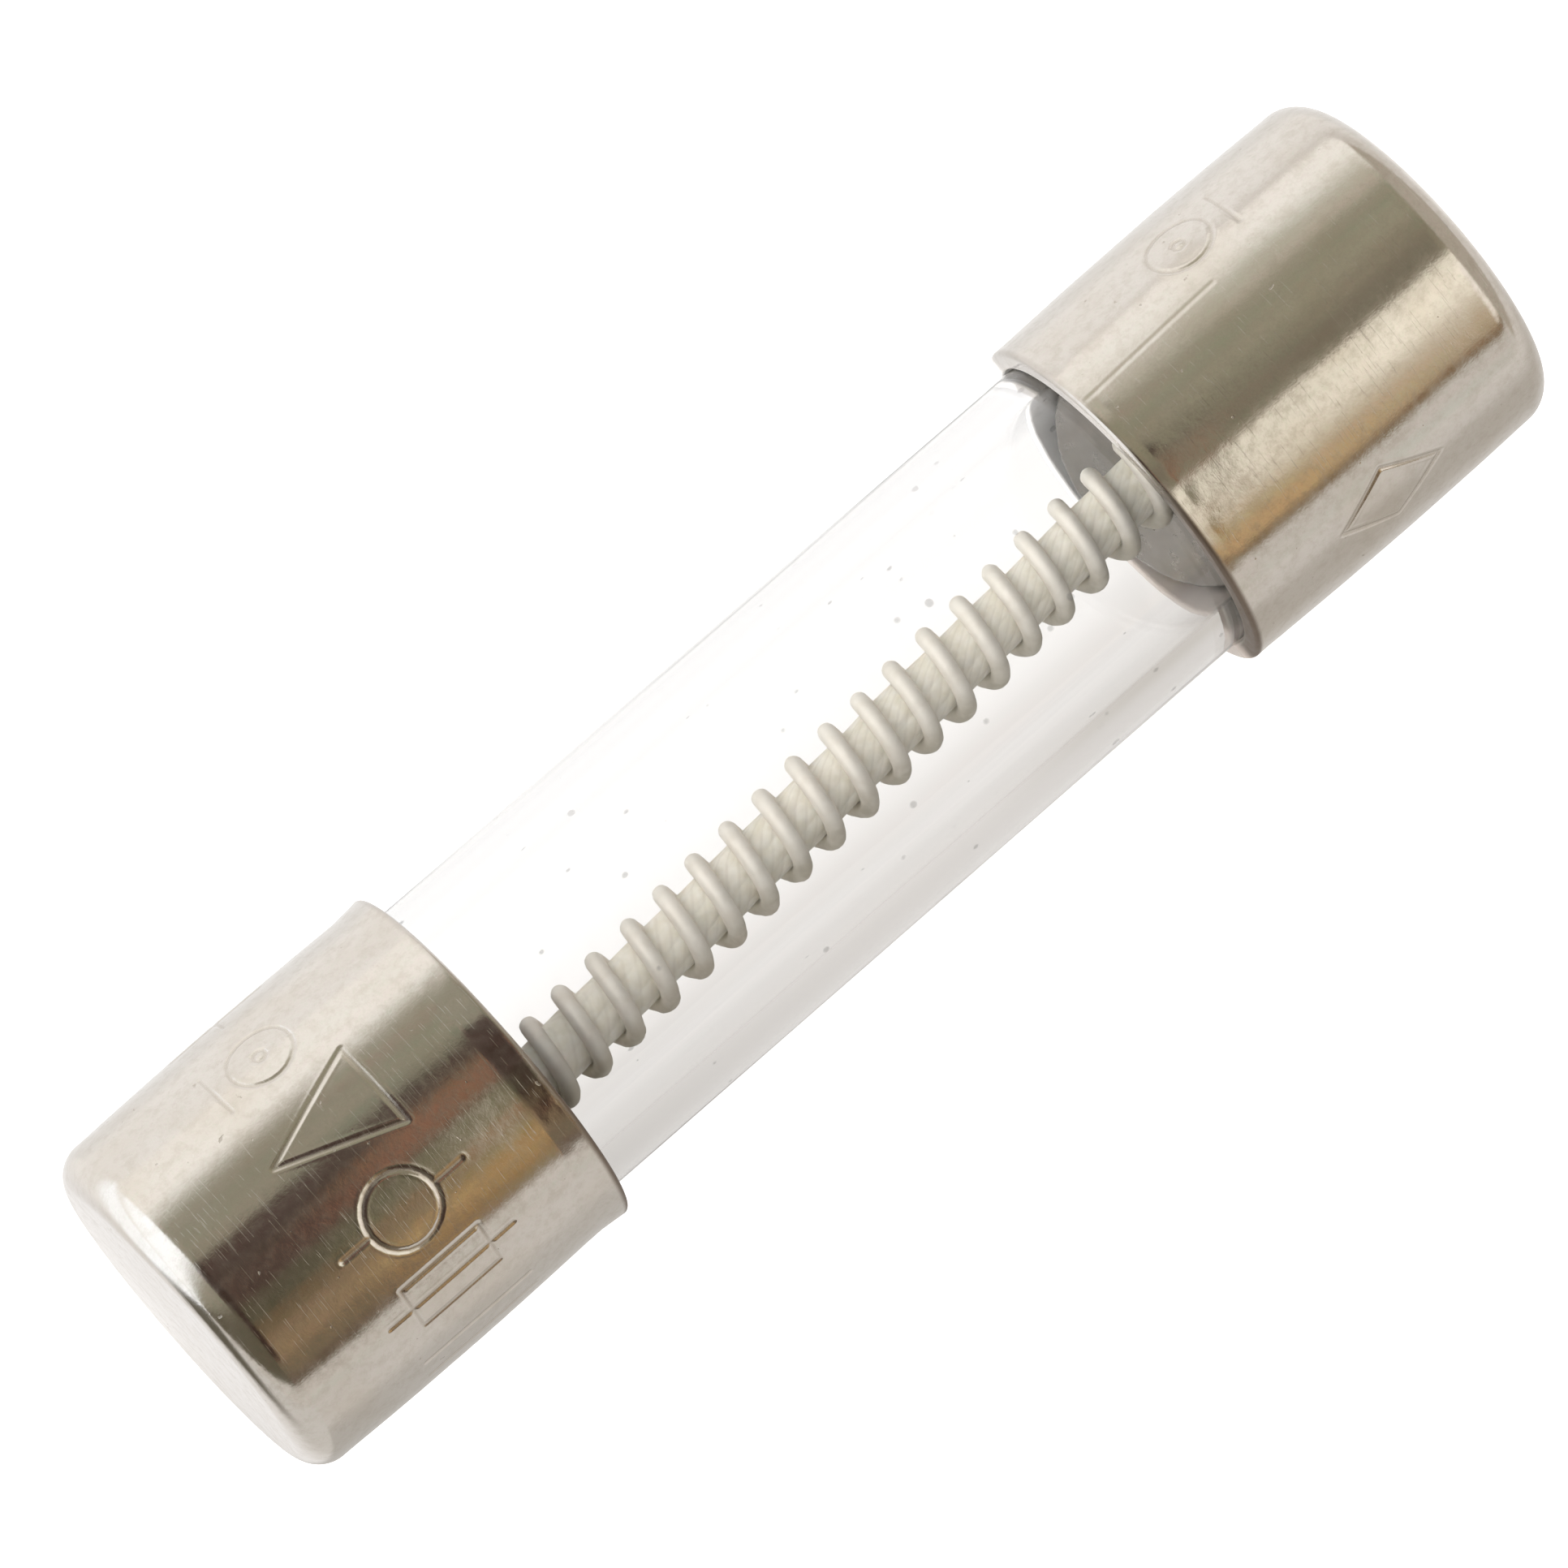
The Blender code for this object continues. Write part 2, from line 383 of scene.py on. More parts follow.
PLATE = rgb(0.675, 0.64, 0.595)
PLATE_STAIN = rgb(0.635, 0.59, 0.53)
PLATE_PINK = rgb(0.63, 0.565, 0.545)
PLATE_GREEN = rgb(0.60, 0.61, 0.53)
PLATE_MOTTLE = rgb(0.52, 0.48, 0.42)
PLATE_PIT = rgb(0.30, 0.26, 0.22)
# painted shade in the stamped grooves
PLATE_GROOVE_SHADE = rgb(0.36, 0.32, 0.27)
# painted shade on the rim, and a painted shadow on its upper -Y side
PLATE_RIM_SHADE = rgb(0.40, 0.36, 0.33)
PLATE_RIM_SHADOW = rgb(0.16, 0.12, 0.09)
PLATE_BORE = rgb(0.55, 0.52, 0.47)
# painted light in the lower half of each cap's mouth, towards -Y and towards +Y
PAINTED_LIGHT_NEAR = rgb(0.95, 0.84, 0.77)
PAINTED_LIGHT_FAR = rgb(0.93, 0.92, 0.91)

GLASS = rgb(0.985, 0.985, 0.985)
DUST = rgb(0.25, 0.24, 0.23)

YARN = rgb(0.86, 0.83, 0.75)
YARN_STAIN = rgb(0.76, 0.72, 0.61)
# painted shade in the gaps between the yarn's strands
YARN_GAP_SHADE = rgb(0.55, 0.50, 0.42)

SILVER = rgb(0.88, 0.84, 0.76)
SILVER_STAIN = rgb(0.78, 0.73, 0.64)
# painted shade on the wire's -Y side and on its turns near the left cap
SIDE_PAINTED_SHADE = rgb(0.47, 0.43, 0.33)
END_PAINTED_SHADE = rgb(0.40, 0.37, 0.30)

TIN_DARK = rgb(0.19, 0.175, 0.16)
TIN_LIGHT = rgb(0.27, 0.245, 0.21)
TIN_CRYSTAL = rgb(0.16, 0.15, 0.14)


def nickel_material():
    """Bright nickel plate: stains, mottling, pits, scratches, painted shade in the stamped grooves
    and on the rim, a painted shadow on the rim's -Y side, a dull bore, and painted light in the
    lower mouth.
    """
    s = Shader("nickel_plate")
    stain = s.ramp(s.noise(s.mm, 0.9, 3.0), 0.4, 0.75)
    colour = s.mix(stain, PLATE, PLATE_STAIN)
    tint = s.noise(s.mm, 16.0, 3.0, 0.7)
    colour = s.mix(s.ramp(tint, 0.5, 0.75, 0.0, 0.5), colour, PLATE_PINK)
    colour = s.mix(s.ramp(tint, 0.25, 0.5, 0.5, 0.0), colour, PLATE_GREEN)
    mottle = s.noise(s.mm, 6.0, 5.0, 0.7)
    colour = s.mix(s.ramp(mottle, 0.4, 0.72, 0.0, 0.5), colour, PLATE_MOTTLE)
    pits = s.ramp(s.noise(s.mm, 7.0, 2.0), 0.735, 0.775)
    colour = s.mix(s.product(pits, 0.45), colour, PLATE_PIT)
    # painted shade: the stamped grooves are darker the deeper they are
    groove = s.node("ShaderNodeAttribute", attribute_name="groove").outputs["Fac"]
    groove = s.ramp(groove, 0.15, 0.9)
    colour = s.mix(s.product(groove, 0.3), colour, PLATE_GROOVE_SHADE)

    # Painted shade: the rim is darker all round, with a painted shadow on its upper -Y side
    x, y, z = s.split(s.mm)
    along = s.math("ABSOLUTE", x)
    rim = s.fall(along, CAP_MOUTH + 0.03, CAP_MOUTH + 0.11)
    colour = s.mix(s.product(rim, 0.35), colour, PLATE_RIM_SHADE)
    rim_shadow = s.product(rim, s.fall(y, -0.8, 0.3), s.ramp(z, -0.6, -0.2))
    colour = s.mix(s.product(rim_shadow, 0.9), colour, PLATE_RIM_SHADOW)

    # The bore is less metallic, and the lower half of the mouth has painted light: pale and not
    # metallic
    across = s.length(s.vector_math("MULTIPLY", s.mm, (0.0, 1.0, 1.0)))
    bore = s.fall(across, CAP_BORE + 0.01, CAP_BORE + 0.05)
    bore = s.product(bore, s.fall(along, FUSE_HALF - 0.2, FUSE_HALF - 0.1))
    colour = s.mix(bore, colour, PLATE_BORE)
    painted_mouth_light = s.product(s.fall(z, -0.4, 0.1), s.fall(along, CAP_MOUTH + 0.3, CAP_MOUTH + 0.5))
    painted_mouth_light_colour = s.mix(s.ramp(y, -0.5, 0.5), PAINTED_LIGHT_NEAR, PAINTED_LIGHT_FAR)
    colour = s.mix(painted_mouth_light, colour, painted_mouth_light_colour)
    dull = s.math("MAXIMUM", painted_mouth_light, s.product(bore, 0.6))

    brushed = s.noise(s.vector_math("MULTIPLY", s.mm, (1.2, 26.0, 26.0)), 1.0, 3.0, 0.6)
    scratches = s.noise(s.vector_math("MULTIPLY", s.mm, (60.0, 1.5, 1.5)), 1.0, 2.0)
    scratches = s.ramp(scratches, 0.66, 0.70)
    rough = s.total(
        s.ramp(mottle, 0.3, 0.8, 0.10, 0.22), s.product(pits, 0.25),
        s.product(s.total(rim_shadow, bore), 0.3), s.product(groove, 0.15),
    )
    height = s.total(
        s.product(mottle, 0.9), s.product(brushed, 0.12),
        s.product(scratches, -0.25), s.product(pits, -0.8),
    )
    return s.finish(s.principled({
        "Base Color": colour, "Metallic": s.fall(dull, 0.0, 1.0), "Roughness": rough,
        "Normal": s.bump(height, 0.5, 0.004),
    }))


def glass_material():
    """Clear soda glass with a few specks of dust and faint drawn streaks along the tube."""
    s = Shader("clear_glass")
    streaks = s.noise(s.vector_math("MULTIPLY", s.mm, (0.15, 3.0, 3.0)), 1.0, 2.0)
    glass = s.principled({
        "Base Color": GLASS, "Roughness": 0.0, "IOR": 1.5,
        "Transmission Weight": 1.0, "Normal": s.bump(streaks, 0.25, 0.01),
    })
    cells = s.node("ShaderNodeTexVoronoi", {"Vector": s.mm, "Scale": 2.2, "Randomness": 1.0})
    size = s.ramp(s.split(cells.outputs["Color"])[0], 0.55, 1.0, 0.0, 0.15)
    speck = s.ramp(s.math("SUBTRACT", cells.outputs["Distance"], size), -0.06, 0.0, 0.38, 0.0)
    dust = s.node("ShaderNodeBsdfDiffuse", {"Color": DUST}).outputs[0]
    mixed = s.node("ShaderNodeMixShader", {0: speck, 1: glass, 2: dust})
    return s.finish(mixed.outputs[0])


def core_material():
    """Pale twisted glass-fibre yarn, matte, a little translucent."""
    s = Shader("fibre_core")
    angle, x = s.unrolled()
    strands = s.math("SINE", s.total(s.product(angle, 18.0), s.product(x, 34.0)))
    tone = s.noise(s.mm, 6.0, 4.0, 0.6)
    colour = s.mix(s.ramp(tone, 0.3, 0.75), YARN, YARN_STAIN)
    # painted shade in the gaps between the strands
    colour = s.mix(s.ramp(strands, -1.0, -0.4, 0.2, 0.0), colour, YARN_GAP_SHADE)
    height = s.total(s.product(strands, 0.5), tone)
    return s.finish(s.principled({
        "Base Color": colour, "Roughness": 0.75, "Subsurface Weight": 0.25,
        "Subsurface Radius": (0.0003, 0.00025, 0.0002), "Subsurface Scale": 0.4,
        "Normal": s.bump(height, 0.5, 0.006),
    }))


def wire_material():
    """Silvered wire, satin, with fine drawing marks, and painted shade along its -Y side and at its
    left end.
    """
    s = Shader("silvered_wire")
    tone = s.noise(s.mm, 4.0, 4.0, 0.6)
    colour = s.mix(s.ramp(tone, 0.35, 0.8), SILVER, SILVER_STAIN)
    middle, direction = element_frame()[:2]
    slope = float(direction[1] / direction[0])
    x, y, _ = s.split(s.mm)
    axis_y = s.total(s.product(x, slope), float(middle[1] - slope * middle[0]))
    side = s.math("SUBTRACT", y, axis_y)
    # painted shade: darker along the -Y side of the winding, and on the turns near the left end
    painted_shade = s.product(s.fall(side, -0.58, -0.22), s.ramp(tone, 0.3, 0.6, 0.45, 0.75))
    colour = s.mix(painted_shade, colour, SIDE_PAINTED_SHADE)
    painted_shade = s.product(s.fall(side, -0.4, 0.6), s.fall(x, -5.2, -3.4), 0.5)
    colour = s.mix(painted_shade, colour, END_PAINTED_SHADE)
    fine = s.noise(s.mm, 40.0, 2.0)
    return s.finish(s.principled({
        "Base Color": colour, "Metallic": 0.25, "Roughness": s.ramp(fine, 0.2, 0.8, 0.5, 0.65),
        "Normal": s.bump(fine, 0.25, 0.003),
    }))


def solder_material():
    """Dull grey solder with a frosted, crystalline face."""
    s = Shader("tin_solder")
    crystals = s.node("ShaderNodeTexVoronoi", {"Vector": s.mm, "Scale": 5.0, "Randomness": 1.0})
    crystals = crystals.outputs["Distance"]
    tone = s.noise(s.mm, 3.0, 4.0, 0.6)
    colour = s.mix(tone, TIN_DARK, TIN_LIGHT)
    colour = s.mix(s.product(crystals, 0.6), colour, TIN_CRYSTAL)
    height = s.total(s.product(crystals, 0.7), tone)
    return s.finish(s.principled({
        "Base Color": colour, "Metallic": 1.0, "Roughness": s.ramp(tone, 0.3, 0.8, 0.25, 0.42),
        "Normal": s.bump(height, 0.4, 0.01),
    }))


# ---------------------------------------------------------------- stamped marks


def circle(radius, count=24):
    """Points on a circle, for a stroke."""
    angles = np.radians(np.linspace(0.0, 360.0, count))
    return [(radius * math.cos(angle), radius * math.sin(angle)) for angle in angles]


# A mark is a list of strokes; a stroke is a line through (x, round) points in mm from its centre
FUSE_SYMBOL = [
    [(-0.62, -0.34), (0.62, -0.34), (0.62, 0.34), (-0.62, 0.34), (-0.62, -0.34)],
    [(-1.0, 0.0), (1.0, 0.0)],
]
DELTA = [[(-0.75, -0.62), (0.85, 0.0), (-0.75, 0.62), (-0.75, -0.62)]]
BARRED_RING = [circle(0.5), [(-0.95, 0.0), (-0.5, 0.0)], [(0.5, 0.0), (0.95, 0.0)]]
DOTTED_RING = [circle(0.45), circle(0.09, count=8), [(0.72, -0.4), (0.72, 0.4)]]
TWIN_BARS = [[(-0.85, -0.22), (0.85, -0.22)], [(-0.85, 0.22), (0.85, 0.22)]]
CROSS = [[(-0.7, 0.0), (0.7, 0.0)], [(0.0, -0.45), (0.0, 0.45)]]
DIAMOND = [[(-0.8, 0.0), (0.0, -0.5), (0.8, 0.0), (0.0, 0.5), (-0.8, 0.0)]]

SCRATCH = [[(-2.25, 0.0), (-0.1, -0.07)]]
NICK = [[(2.0, -0.12), (2.15, 0.14)]]

# Marks with their angle from the top towards -Y in degrees, and their depth
LEFT_MARKS = [
    (CROSS, -82.0, 1.0), (NICK, -66.0, 0.4), (DOTTED_RING, -47.0, 1.0), (DELTA, -16.0, 0.9),
    (BARRED_RING, 16.0, 0.9), (FUSE_SYMBOL, 42.0, 1.0), (TWIN_BARS, 70.0, 1.0),
    (DIAMOND, 98.0, 1.0), (FUSE_SYMBOL, 150.0, 1.0), (DOTTED_RING, 205.0, 1.0),
    (DELTA, 250.0, 1.0),
]
RIGHT_MARKS = [
    (DOTTED_RING, -52.0, 1.0), (SCRATCH, -31.0, 0.22), (DIAMOND, 54.0, 1.2),
    (FUSE_SYMBOL, 130.0, 1.0), (CROSS, 180.0, 1.0), (BARRED_RING, 240.0, 1.0),
]


def stroke_distance(u, v, strokes):
    """Distance in mm from each (u, v) point to the nearest stroke."""
    best = np.full(np.broadcast(u, v).shape, np.inf)
    for stroke in strokes:
        for (u0, v0), (u1, v1) in zip(stroke[:-1], stroke[1:]):
            du = u1 - u0
            dv = v1 - v0
            along = np.clip(((u - u0) * du + (v - v0) * dv) / (du * du + dv * dv), 0.0, 1.0)
            best = np.minimum(best, np.hypot(u - u0 - along * du, v - v0 - along * dv))
    return best


def stamp_height(x, theta, marks):
    """Height of the stamped marks: a groove with a low burr on each side."""
    height = np.zeros(np.broadcast(x, theta).shape)
    for strokes, angle, depth in marks:
        turn = (-theta - math.radians(angle) + math.pi) % (2 * math.pi) - math.pi
        distance = stroke_distance(x - MARK_CENTRE, turn * CAP_RADIUS, strokes) / STROKE_HALF_WIDTH
        groove = -np.exp(-distance ** 2)
        burr = BURR_SHARE * np.exp(-((distance - BURR_PLACE) / BURR_SPREAD) ** 2)
        height += depth * STROKE_DEPTH * (groove + burr)
    return height


# ---------------------------------------------------------------- pieces


def place(piece, node):
    """A piece that stands for a CAD node and rides with the fuse."""
    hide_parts(node)
    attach(piece, "root")
    return piece


def cap_profile(lip_length, lip_step, lip_flare):
    """(x, r) profile of a cap, from its outer centre over the barrel to its inner centre.

    The barrel drops by lip_step where the lip begins, and the lip opens by lip_flare to its rim.
    """
    end = FUSE_HALF
    mouth = CAP_MOUTH
    rim = RIM_ROUND
    inner_rim = INNER_RIM_ROUND
    floor = end - CAP_WALL
    floor_round = CAP_FLOOR_ROUND
    middle = (end + mouth) / 2
    half = (end - mouth) / 2

    def barrel(x):
        return CAP_RADIUS - SHOULDER_DROP * ((x - middle) / half) ** 2

    shoulder = end - CORNER_ROUND
    corner_r = barrel(shoulder) - CORNER_ROUND
    lip_start = mouth + lip_length
    stations = [shoulder]
    while stations[-1] > lip_start + 0.01:
        near_marks = abs(stations[-1] - MARK_CENTRE) < MARK_REACH
        spacing = FINE_STATION if near_marks else COARSE_STATION
        stations.append(max(stations[-1] - spacing, lip_start))
    neck_x = lip_start - LIP_NECK
    neck_r = barrel(lip_start) - lip_step
    lip_r = neck_r + lip_flare
    return np.concatenate([
        np.array([(end, 0.0)]),
        line((end, 0.0), (end, corner_r), 10),
        arc(shoulder, corner_r, CORNER_ROUND, 0.0, 90.0, 20)[1:],
        np.array([(x, barrel(x)) for x in stations[1:]]),
        line((lip_start, barrel(lip_start)), (neck_x, neck_r), 3),
        line((neck_x, neck_r), (mouth + rim, lip_r), 7),
        arc(mouth + rim, lip_r - rim, rim, 90.0, 180.0, 7)[1:],
        line((mouth, lip_r - rim), (mouth, CAP_BORE + inner_rim), 3),
        arc(mouth + inner_rim, CAP_BORE + inner_rim, inner_rim, 180.0, 270.0, 6)[1:],
        line((mouth + inner_rim, CAP_BORE), (floor - floor_round, CAP_BORE), 8),
        arc(floor - floor_round, CAP_BORE - floor_round, floor_round, 90.0, 0.0, 6)[1:],
        line((floor, CAP_BORE - floor_round), (floor, 0.0), 4),
    ])


def make_cap(name, node, side, marks, lip, material, seed):
    """A drawn cap with its stamped marks, slight dents and a crimped lip."""

    def relief(x, r, theta):
        from_mouth = x - CAP_MOUTH
        from_end = FUSE_HALF - x
        on_barrel = (r > CAP_BORE + 0.2) & (from_end > 0.1) & (from_mouth > RIM_ROUND)
        dents = waviness(theta, x, CAP_RADIUS, DENT_HEIGHT, DENT_LENGTH, seed) - 2 * DENT_HEIGHT
        dents = dents * smooth_step(from_mouth, *DENT_FADE) * smooth_step(from_end, *DENT_FADE)
        crimp = waviness(theta, x, CAP_RADIUS, CRIMP_HEIGHT, CRIMP_LENGTH, seed + 1)
        crimp_share = smooth_step(from_mouth, *CRIMP_RISE)
        crimp_share = crimp_share * (1.0 - smooth_step(from_mouth, *CRIMP_FADE))
        height = dents + crimp_share * (crimp - CRIMP_HEIGHT) + stamp_height(x, theta, marks)
        return np.where(on_barrel, height, 0.0)

    cap = turned_mesh(name, cap_profile(*lip), CAP_SEGMENTS, material, relief, side=side)
    store_grooves(cap, marks)
    return place(cap, node)


def store_grooves(cap, marks):
    """Store how deep in a stamped groove each vertex lies, 0 to 1, for the material."""
    points = np.empty(len(cap.data.vertices) * 3)
    cap.data.vertices.foreach_get("co", points)
    x, y, z = points.reshape(-1, 3).T / MM
    depth = -stamp_height(np.abs(x), np.arctan2(y, z), marks) / STROKE_DEPTH
    depth = np.where(np.hypot(y, z) > CAP_BORE + 0.15, np.clip(depth, 0.0, 1.0), 0.0)
    cap.data.attributes.new("groove", "FLOAT", "POINT").data.foreach_set("value", depth)


def make_tube(material):
    """The glass tube, with fire-polished ends."""
    rounding = TUBE_END_ROUND
    inner = TUBE_BORE + rounding
    outer = TUBE_RADIUS - rounding
    top = TUBE_HALF - rounding
    profile = np.concatenate([
        arc(top, inner, rounding, -90.0, 0.0, 8),
        arc(top, outer, rounding, 0.0, 90.0, 8),
        line((top, TUBE_RADIUS), (-top, TUBE_RADIUS), 60),
        arc(-top, outer, rounding, 90.0, 180.0, 8)[1:],
        arc(-top, inner, rounding, 180.0, 270.0, 8),
        line((-top, TUBE_BORE), (top, TUBE_BORE), 60)[:-1],
    ])
    tube = turned_mesh("tube_glass", profile, TUBE_SEGMENTS, material, closed=True)
    return place(tube, "glass_tube")


def element_frame():
    """Middle, direction and two cross directions of the element's axis, and its half length."""
    points = np.array([vertex.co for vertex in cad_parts["element_core"].data.vertices]) / MM
    left = points[points[:, 0] < 0.0].mean(axis=0)
    right = points[points[:, 0] > 0.0].mean(axis=0)
    length = float(np.linalg.norm(right - left))
    direction = (right - left) / length
    across = np.cross((0.0, 0.0, 1.0), direction)
    across /= np.linalg.norm(across)
    return (left + right) / 2, direction, across, np.cross(direction, across), length / 2


def make_core(material):
    """The fibre core: a rod of twisted strands."""
    middle, direction, across, up, half = element_frame()
    theta = np.arange(CORE_SEGMENTS) * 2 * math.pi / CORE_SEGMENTS
    vertices = []
    for along in np.linspace(-half, half, CORE_RINGS):
        lobes = np.abs(np.cos(STRANDS / 2 * theta + along * STRAND_TWIST)) ** 0.5
        radius = CORE_RADIUS + STRAND_DEPTH * (lobes - 0.8)
        round_part = np.cos(theta)[:, None] * across + np.sin(theta)[:, None] * up
        vertices += (middle + along * direction + radius[:, None] * round_part).tolist()
    faces = ring_faces(CORE_RINGS, CORE_SEGMENTS)
    faces.append(tuple(reversed(range(CORE_SEGMENTS))))
    faces.append(tuple(range((CORE_RINGS - 1) * CORE_SEGMENTS, CORE_RINGS * CORE_SEGMENTS)))
    return place(mesh_object("core_yarn", vertices, faces, material), "element_core")


def make_wire(material, seed):
    """The fuse wire, wound left-handed round the core."""
    middle, direction, across, up, half = element_frame()
    random = np.random.default_rng(seed)
    length = half - WIRE_END_INSET
    count = int(2 * length / WINDING_PITCH * POINTS_A_TURN)
    along = np.linspace(-length, length, count)
    angle = 2 * math.pi * (along - WINDING_PHASE) / WINDING_PITCH
    wander = np.zeros(count)
    for _ in range(WANDER_WAVES):
        wander += WIRE_WANDER * np.sin(along * random.uniform(0.8, 4.0) + random.uniform(0, 6.3))
    radius = WINDING_RADIUS + WINDING_SWELL * np.sin(along * 3.1 + 1.0)
    path = (middle + (along + wander)[:, None] * direction
            + (radius * np.cos(angle))[:, None] * across
            - (radius * np.sin(angle))[:, None] * up)
    wire = tube_along("wire_winding", path, WIRE_RADIUS, WIRE_SIDES, material)
    return place(wire, "element_wire")


def make_solder(name, node, side, face, material, seed):
    """A solder slug with a slanted, faintly rippled face and a rounded edge."""
    edge = SOLDER_EDGE_ROUND
    profile = np.concatenate([
        np.array([(SOLDER_BACK, 0.0)]),
        line((SOLDER_BACK, 0.0), (SOLDER_BACK, SOLDER_RADIUS), 3),
        line((SOLDER_BACK, SOLDER_RADIUS), (face + edge, SOLDER_RADIUS), 24),
        arc(face + edge, SOLDER_RADIUS - edge, edge, 90.0, 180.0, 10)[1:],
        line((face, SOLDER_RADIUS - edge), (face, 0.0), 60),
    ])

    def relief(x, r, theta):
        ripple = waviness(theta, r, SOLDER_RADIUS, SOLDER_RIPPLE, 1.0, seed)
        middle_fade = smooth_step(r, 0.0, 0.5)
        edge_fade = smooth_step(r, SOLDER_RADIUS - edge, SOLDER_RADIUS - 0.4)
        return np.where(x < face + 0.001, ripple * middle_fade * edge_fade, 0.0)

    slug = turned_mesh(name, profile, SOLDER_SEGMENTS, material, relief, side=side)
    for vertex in slug.data.vertices:
        behind_face = abs(vertex.co.x) / MM - face
        share = 1.0 - float(smooth_step(behind_face, *SLANT_FADE))
        vertex.co.x += side * SOLDER_SLANT * vertex.co.z * share
    return place(slug, node)


# ---------------------------------------------------------------- stage: floor, light tent, camera

FLOOR_HALF = 3000.0
ROOM_HALF = 600.0
SHEET_GAP = 0.01  # between one floor sheet and the next
TENT_RADIUS = 150.0
TENT_HALF_LENGTH = 2900.0
TENT_HALF_ANGLE = 90.9  # from overhead, which brings the tent's edges almost down to the floor
TENT_STEPS = 96

PAPER_DARK = rgb(0.86, 0.86, 0.86)
PAPER_LIGHT = rgb(0.90, 0.90, 0.90)
PAPER_GLOW = 0.85
BOUNCE_LIGHT = rgb(2.2, 2.16, 2.10)
BOUNCE_SHADE = rgb(0.27, 0.23, 0.16)
FLOOR_LIGHT = rgb(1.16, 1.14, 1.12)
FLOOR_SHADE = rgb(0.79, 0.755, 0.72)
FLOOR_HALF_SHADE = rgb(0.88, 0.85, 0.82)
FLOOR_EDGE_SHADE = rgb(0.86, 0.86, 0.86)
FLOOR_LEFT_SHADE = rgb(0.50, 0.485, 0.46)
FLOOR_LEFT = rgb(1.0, 0.98, 0.97)
FLOOR_LEFT_NEAR = rgb(0.80, 0.775, 0.745)
FLOOR_RIGHT_SHADE = rgb(0.60, 0.565, 0.52)
FLOOR_RIGHT = rgb(0.86, 0.82, 0.78)
FLOOR_FAR_LIGHT = rgb(1.50, 1.57, 1.66)
FLOOR_FAR_SHADE = rgb(0.16, 0.145, 0.11)

TENT_LIT_SIDE = rgb(1.24, 1.22, 1.18)
TENT_FAR_SIDE = rgb(0.76, 0.735, 0.70)
TENT_WARM_TINT = rgb(1.28, 0.96, 0.98)
TENT_COOL_TINT = rgb(0.80, 1.04, 0.90)
OPEN = 9999.0  # for a panel that runs on past the end of the tent

# Reflected panels: colour, then from and to of the angle from overhead towards -Y in degrees,
# the softness of those two edges, then from and to along X in mm, and that softness
PANELS = [
    (rgb(0.355, 0.345, 0.28), -56.0, 71.0, 20.0, 5.0, -OPEN, OPEN, 30.0),
    # mirrored by the left cap
    (rgb(0.092, 0.064, 0.056), -20.5, 71.0, 4.0, 4.0, -75.0, 26.0, 4.0),
    (rgb(0.27, 0.26, 0.21), -23.0, -17.0, 3.0, 4.0, 8.0, 26.0, 5.0),
    (rgb(0.30, 0.165, 0.11), -5.0, 12.0, 8.0, 6.0, 8.0, 26.0, 5.0),
    (rgb(0.115, 0.11, 0.075), 14.0, 29.0, 6.0, 6.0, -75.0, 8.0, 8.0),
    (rgb(0.23, 0.22, 0.145), 14.0, 30.0, 6.0, 6.0, 8.0, 26.0, 6.0),
    (rgb(0.20, 0.15, 0.09), 27.0, 40.0, 5.0, 6.0, -75.0, 8.0, 8.0),
    (rgb(0.32, 0.24, 0.15), 28.0, 71.0, 6.0, 4.0, 8.0, 26.0, 6.0),
    (rgb(0.33, 0.25, 0.165), 37.0, 56.0, 8.0, 8.0, -75.0, 8.0, 8.0),
    (rgb(0.22, 0.175, 0.125), 53.0, 66.0, 8.0, 4.0, -75.0, 8.0, 8.0),
    (rgb(0.16, 0.12, 0.09), 64.0, 71.0, 4.0, 3.0, -75.0, 8.0, 5.0),
    (rgb(0.42, 0.28, 0.13), 42.0, 64.0, 8.0, 8.0, 8.0, 26.0, 6.0),
    (rgb(0.80, 0.56, 0.28), 45.0, 56.0, 7.0, 7.0, 8.5, 12.5, 3.0),
    (rgb(0.06, 0.036, 0.028), -21.0, 52.0, 4.0, 6.0, -60.0, -9.0, 3.0),
    (rgb(0.14, 0.125, 0.09), 10.0, 71.0, 24.0, 4.0, -OPEN, -50.0, 10.0),
    (rgb(1.50, 1.57, 1.66), -88.0, -22.0, 16.0, 32.0, -OPEN, -58.0, 16.0),
    # mirrored by the right cap
    (rgb(0.62, 0.60, 0.51), -64.0, -46.0, 28.0, 12.0, 26.0, 110.0, 4.0),
    (rgb(0.38, 0.366, 0.28), -42.0, 13.0, 16.0, 4.0, 26.0, 110.0, 4.0),
    (rgb(0.31, 0.29, 0.22), -16.0, 13.0, 14.0, 4.0, 26.0, 110.0, 4.0),
    (rgb(0.23, 0.21, 0.165), -6.0, 12.0, 10.0, 5.0, 34.0, 56.0, 8.0),
    (rgb(1.10, 1.04, 0.90), 12.0, 62.0, 3.0, 6.0, 26.0, 110.0, 4.0),
    (rgb(1.32, 1.26, 1.10), 20.0, 38.0, 10.0, 10.0, 43.0, 110.0, 10.0),
    (rgb(0.56, 0.47, 0.335), 44.0, 68.0, 30.0, 4.0, 26.0, 110.0, 4.0),
    (rgb(0.66, 0.46, 0.24), 50.0, 65.0, 20.0, 5.0, 26.0, 41.0, 8.0),
    (rgb(0.25, 0.17, 0.10), 65.0, 71.0, 4.0, 3.0, 26.0, 110.0, 5.0),
    (rgb(1.20, 1.13, 1.05), 22.0, 64.0, 14.0, 10.0, 60.0, 125.0, 20.0),
    (rgb(0.55, 0.51, 0.45), -100.0, 100.0, 5.0, 5.0, 115.0, OPEN, 30.0),
]

